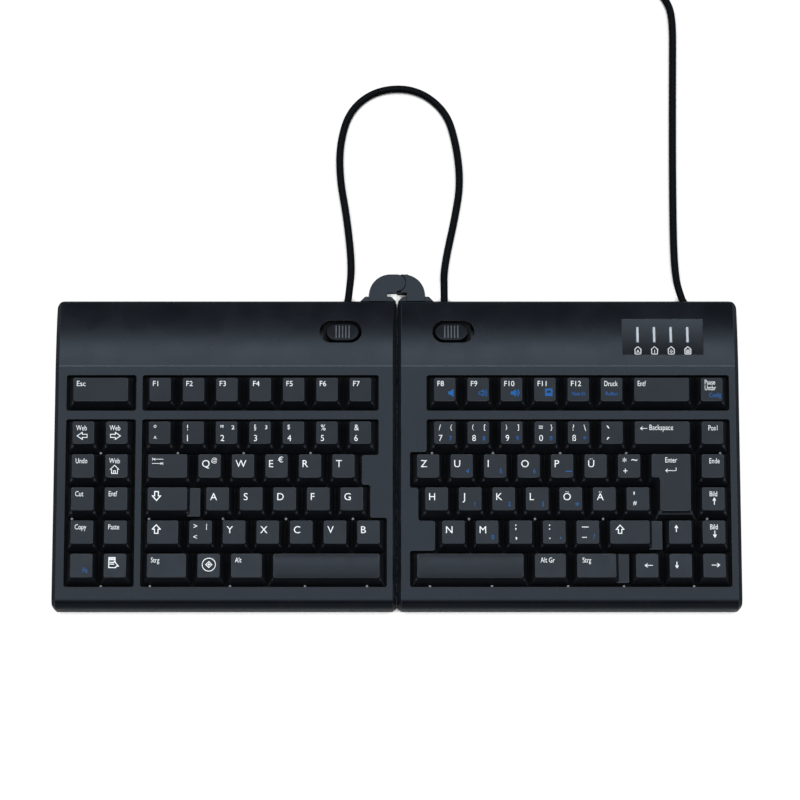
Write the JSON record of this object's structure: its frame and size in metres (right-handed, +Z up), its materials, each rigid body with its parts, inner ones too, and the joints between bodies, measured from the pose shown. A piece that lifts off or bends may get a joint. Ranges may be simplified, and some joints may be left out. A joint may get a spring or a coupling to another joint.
{
  "type": "split keyboard",
  "caption": "Flat two-part computer keyboard whose halves splay on a tether, with sculpted keys, release sliders, indicator window and cables.",
  "frame": {"origin": "on the table, on the seam between the modules, under the middle of the keyboard and its tether", "axes": "+X to the right along the key rows, +Y away from the typist, +Z up"},
  "size_m": [0.3996, 0.435, 0.0228],
  "materials": {
    "case_plastic": "fine satin grain",
    "key_plastic": "satin, printed legends",
    "slider_plastic": "satin",
    "window_plastic": "polished, smoked",
    "light_plastic": "frosted clear",
    "foot_rubber": "matt",
    "screw_steel": "zinc plated",
    "backing_steel": "galvanised sheet",
    "membrane_film": "clear film with printed tracks",
    "dome_rubber": "moulded silicone",
    "frame_plastic": "moulded",
    "board_laminate": "solder mask",
    "cable_jacket": "smooth jacket",
    "plug_rubber": "moulded",
    "plug_steel": "nickel plated"
  },
  "bodies": {
    "right_module": {"right_top_case": "case_plastic", "right_bottom_case": "case_plastic", "right_feet": "foot_rubber", "right_case_screws": "screw_steel", "right_backing_plate": "backing_steel", "right_switch_membrane": "membrane_film", "right_dome_sheet": "dome_rubber", "right_key_frame": "frame_plastic", "right_circuit_board": "board_laminate", "right_tether_arm": "case_plastic", "right_cable_bushes": "cable_jacket", "tether_pin": "screw_steel", "indicator_window": "window_plastic", "light_bars": "light_plastic", "link_cable": "cable_jacket", "usb_cable": "cable_jacket", "usb_cable_coil": "cable_jacket", "usb_plug_grip": "plug_rubber", "usb_plug_shell": "plug_steel"},
    "left_module": {"left_top_case": "case_plastic", "left_bottom_case": "case_plastic", "left_feet": "foot_rubber", "left_case_screws": "screw_steel", "left_backing_plate": "backing_steel", "left_switch_membrane": "membrane_film", "left_dome_sheet": "dome_rubber", "left_key_frame": "frame_plastic", "left_circuit_board": "board_laminate", "left_tether_arm": "case_plastic", "left_cable_bushes": "cable_jacket"},
    "left_release_slider": {"left_release_slider": "slider_plastic"},
    "right_release_slider": {"right_release_slider": "slider_plastic"},
    "esc_key": {"esc_key": "key_plastic"},
    "left_function_keys": {"left_function_keys": "key_plastic"},
    "hot_keys": {"hot_keys": "key_plastic"},
    "left_number_keys": {"left_number_keys": "key_plastic"},
    "tab_key": {"tab_key": "key_plastic"},
    "left_upper_letter_keys": {"left_upper_letter_keys": "key_plastic"},
    "caps_lock_key": {"caps_lock_key": "key_plastic"},
    "left_home_letter_keys": {"left_home_letter_keys": "key_plastic"},
    "left_shift_key": {"left_shift_key": "key_plastic"},
    "left_lower_letter_keys": {"left_lower_letter_keys": "key_plastic"},
    "left_control_key": {"left_control_key": "key_plastic"},
    "system_key": {"system_key": "key_plastic"},
    "left_alt_key": {"left_alt_key": "key_plastic"},
    "left_space_bar": {"left_space_bar": "key_plastic"},
    "right_function_keys": {"right_function_keys": "key_plastic"},
    "delete_key": {"delete_key": "key_plastic"},
    "right_number_keys": {"right_number_keys": "key_plastic"},
    "backspace_key": {"backspace_key": "key_plastic"},
    "right_upper_letter_keys": {"right_upper_letter_keys": "key_plastic"},
    "enter_key": {"enter_key": "key_plastic"},
    "right_home_letter_keys": {"right_home_letter_keys": "key_plastic"},
    "right_lower_letter_keys": {"right_lower_letter_keys": "key_plastic"},
    "right_shift_key": {"right_shift_key": "key_plastic"},
    "navigation_keys": {"navigation_keys": "key_plastic"},
    "arrow_keys": {"arrow_keys": "key_plastic"},
    "right_space_bar": {"right_space_bar": "key_plastic"},
    "alt_gr_key": {"alt_gr_key": "key_plastic"},
    "right_control_key": {"right_control_key": "key_plastic"}
  },
  "joints": [
    {"name": "splay", "type": "hinge", "parent": "right_module", "child": "left_module", "pos_m": [0, 0.0932, 0.0049], "axis": [0, 0, -1], "range_deg": [0, 30], "deforming": ["link_cable"]},
    {"name": "left_release_slide", "type": "slide", "parent": "left_module", "child": "left_release_slider", "axis": [-1, 0, 0], "range_m": [0, 0.003], "stiffness_N_per_m": 250, "springref_m": -0.002},
    {"name": "right_release_slide", "type": "slide", "parent": "right_module", "child": "right_release_slider", "axis": [1, 0, 0], "range_m": [0, 0.003], "stiffness_N_per_m": 250, "springref_m": -0.002},
    {"name": "esc_key_press", "type": "slide", "parent": "left_module", "child": "esc_key", "axis": [0, 0, -1], "range_m": [0, 0.0035], "stiffness_N_per_m": 150, "springref_m": -0.003, "deforming": ["left_dome_sheet"]},
    {"name": "left_function_keys_press", "type": "slide", "parent": "left_module", "child": "left_function_keys", "axis": [0, 0, -1], "range_m": [0, 0.0035], "stiffness_N_per_m": 150, "springref_m": -0.003, "deforming": ["left_dome_sheet"]},
    {"name": "hot_keys_press", "type": "slide", "parent": "left_module", "child": "hot_keys", "axis": [0, 0, -1], "range_m": [0, 0.0035], "stiffness_N_per_m": 150, "springref_m": -0.003, "deforming": ["left_dome_sheet"]},
    {"name": "left_number_keys_press", "type": "slide", "parent": "left_module", "child": "left_number_keys", "axis": [0, 0, -1], "range_m": [0, 0.0035], "stiffness_N_per_m": 150, "springref_m": -0.003, "deforming": ["left_dome_sheet"]},
    {"name": "tab_key_press", "type": "slide", "parent": "left_module", "child": "tab_key", "axis": [0, 0, -1], "range_m": [0, 0.0035], "stiffness_N_per_m": 150, "springref_m": -0.003, "deforming": ["left_dome_sheet"]},
    {"name": "left_upper_letter_keys_press", "type": "slide", "parent": "left_module", "child": "left_upper_letter_keys", "axis": [0, 0, -1], "range_m": [0, 0.0035], "stiffness_N_per_m": 150, "springref_m": -0.003, "deforming": ["left_dome_sheet"]},
    {"name": "caps_lock_key_press", "type": "slide", "parent": "left_module", "child": "caps_lock_key", "axis": [0, 0, -1], "range_m": [0, 0.0035], "stiffness_N_per_m": 150, "springref_m": -0.003, "deforming": ["left_dome_sheet"]},
    {"name": "left_home_letter_keys_press", "type": "slide", "parent": "left_module", "child": "left_home_letter_keys", "axis": [0, 0, -1], "range_m": [0, 0.0035], "stiffness_N_per_m": 150, "springref_m": -0.003, "deforming": ["left_dome_sheet"]},
    {"name": "left_shift_key_press", "type": "slide", "parent": "left_module", "child": "left_shift_key", "axis": [0, 0, -1], "range_m": [0, 0.0035], "stiffness_N_per_m": 150, "springref_m": -0.003, "deforming": ["left_dome_sheet"]},
    {"name": "left_lower_letter_keys_press", "type": "slide", "parent": "left_module", "child": "left_lower_letter_keys", "axis": [0, 0, -1], "range_m": [0, 0.0035], "stiffness_N_per_m": 150, "springref_m": -0.003, "deforming": ["left_dome_sheet"]},
    {"name": "left_control_key_press", "type": "slide", "parent": "left_module", "child": "left_control_key", "axis": [0, 0, -1], "range_m": [0, 0.0035], "stiffness_N_per_m": 150, "springref_m": -0.003, "deforming": ["left_dome_sheet"]},
    {"name": "system_key_press", "type": "slide", "parent": "left_module", "child": "system_key", "axis": [0, 0, -1], "range_m": [0, 0.0035], "stiffness_N_per_m": 150, "springref_m": -0.003, "deforming": ["left_dome_sheet"]},
    {"name": "left_alt_key_press", "type": "slide", "parent": "left_module", "child": "left_alt_key", "axis": [0, 0, -1], "range_m": [0, 0.0035], "stiffness_N_per_m": 150, "springref_m": -0.003, "deforming": ["left_dome_sheet"]},
    {"name": "left_space_bar_press", "type": "slide", "parent": "left_module", "child": "left_space_bar", "axis": [0, 0, -1], "range_m": [0, 0.0035], "stiffness_N_per_m": 150, "springref_m": -0.003, "deforming": ["left_dome_sheet"]},
    {"name": "right_function_keys_press", "type": "slide", "parent": "right_module", "child": "right_function_keys", "axis": [0, 0, -1], "range_m": [0, 0.0035], "stiffness_N_per_m": 150, "springref_m": -0.003, "deforming": ["right_dome_sheet"]},
    {"name": "delete_key_press", "type": "slide", "parent": "right_module", "child": "delete_key", "axis": [0, 0, -1], "range_m": [0, 0.0035], "stiffness_N_per_m": 150, "springref_m": -0.003, "deforming": ["right_dome_sheet"]},
    {"name": "right_number_keys_press", "type": "slide", "parent": "right_module", "child": "right_number_keys", "axis": [0, 0, -1], "range_m": [0, 0.0035], "stiffness_N_per_m": 150, "springref_m": -0.003, "deforming": ["right_dome_sheet"]},
    {"name": "backspace_key_press", "type": "slide", "parent": "right_module", "child": "backspace_key", "axis": [0, 0, -1], "range_m": [0, 0.0035], "stiffness_N_per_m": 150, "springref_m": -0.003, "deforming": ["right_dome_sheet"]},
    {"name": "right_upper_letter_keys_press", "type": "slide", "parent": "right_module", "child": "right_upper_letter_keys", "axis": [0, 0, -1], "range_m": [0, 0.0035], "stiffness_N_per_m": 150, "springref_m": -0.003, "deforming": ["right_dome_sheet"]},
    {"name": "enter_key_press", "type": "slide", "parent": "right_module", "child": "enter_key", "axis": [0, 0, -1], "range_m": [0, 0.0035], "stiffness_N_per_m": 150, "springref_m": -0.003, "deforming": ["right_dome_sheet"]},
    {"name": "right_home_letter_keys_press", "type": "slide", "parent": "right_module", "child": "right_home_letter_keys", "axis": [0, 0, -1], "range_m": [0, 0.0035], "stiffness_N_per_m": 150, "springref_m": -0.003, "deforming": ["right_dome_sheet"]},
    {"name": "right_lower_letter_keys_press", "type": "slide", "parent": "right_module", "child": "right_lower_letter_keys", "axis": [0, 0, -1], "range_m": [0, 0.0035], "stiffness_N_per_m": 150, "springref_m": -0.003, "deforming": ["right_dome_sheet"]},
    {"name": "right_shift_key_press", "type": "slide", "parent": "right_module", "child": "right_shift_key", "axis": [0, 0, -1], "range_m": [0, 0.0035], "stiffness_N_per_m": 150, "springref_m": -0.003, "deforming": ["right_dome_sheet"]},
    {"name": "navigation_keys_press", "type": "slide", "parent": "right_module", "child": "navigation_keys", "axis": [0, 0, -1], "range_m": [0, 0.0035], "stiffness_N_per_m": 150, "springref_m": -0.003, "deforming": ["right_dome_sheet"]},
    {"name": "arrow_keys_press", "type": "slide", "parent": "right_module", "child": "arrow_keys", "axis": [0, 0, -1], "range_m": [0, 0.0035], "stiffness_N_per_m": 150, "springref_m": -0.003, "deforming": ["right_dome_sheet"]},
    {"name": "right_space_bar_press", "type": "slide", "parent": "right_module", "child": "right_space_bar", "axis": [0, 0, -1], "range_m": [0, 0.0035], "stiffness_N_per_m": 150, "springref_m": -0.003, "deforming": ["right_dome_sheet"]},
    {"name": "alt_gr_key_press", "type": "slide", "parent": "right_module", "child": "alt_gr_key", "axis": [0, 0, -1], "range_m": [0, 0.0035], "stiffness_N_per_m": 150, "springref_m": -0.003, "deforming": ["right_dome_sheet"]},
    {"name": "right_control_key_press", "type": "slide", "parent": "right_module", "child": "right_control_key", "axis": [0, 0, -1], "range_m": [0, 0.0035], "stiffness_N_per_m": 150, "springref_m": -0.003, "deforming": ["right_dome_sheet"]}
  ]
}
